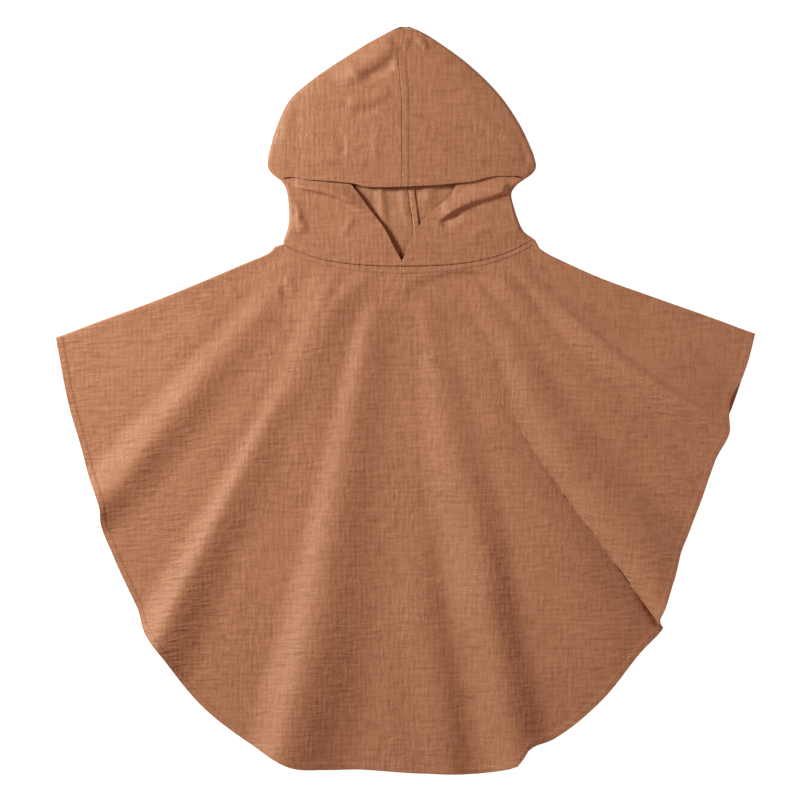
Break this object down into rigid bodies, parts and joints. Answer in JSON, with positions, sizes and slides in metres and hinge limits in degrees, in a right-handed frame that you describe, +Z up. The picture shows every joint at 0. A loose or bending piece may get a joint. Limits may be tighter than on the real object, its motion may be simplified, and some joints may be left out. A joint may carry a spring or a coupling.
{
  "type": "hooded bath poncho",
  "caption": "Child's hooded bath poncho in crinkled cotton double gauze, laid flat: oval body folded at the shoulders, two-piece hood, front in soft flutes that fan from the neck",
  "frame": {"origin": "on the surface the garment lies on, at the middle of its outline", "axes": "+X across the shoulders, from left to right as seen from above, +Y from the hem to the tip of the hood, +Z up out of the front"},
  "size_m": [0.6533, 0.6981, 0.019],
  "materials": {
    "double_gauze": "matt crinkled cotton"
  },
  "bodies": {
    "root": {"poncho_body": "double_gauze", "hood_left": "double_gauze", "hood_right": "double_gauze"}
  },
  "joints": []
}
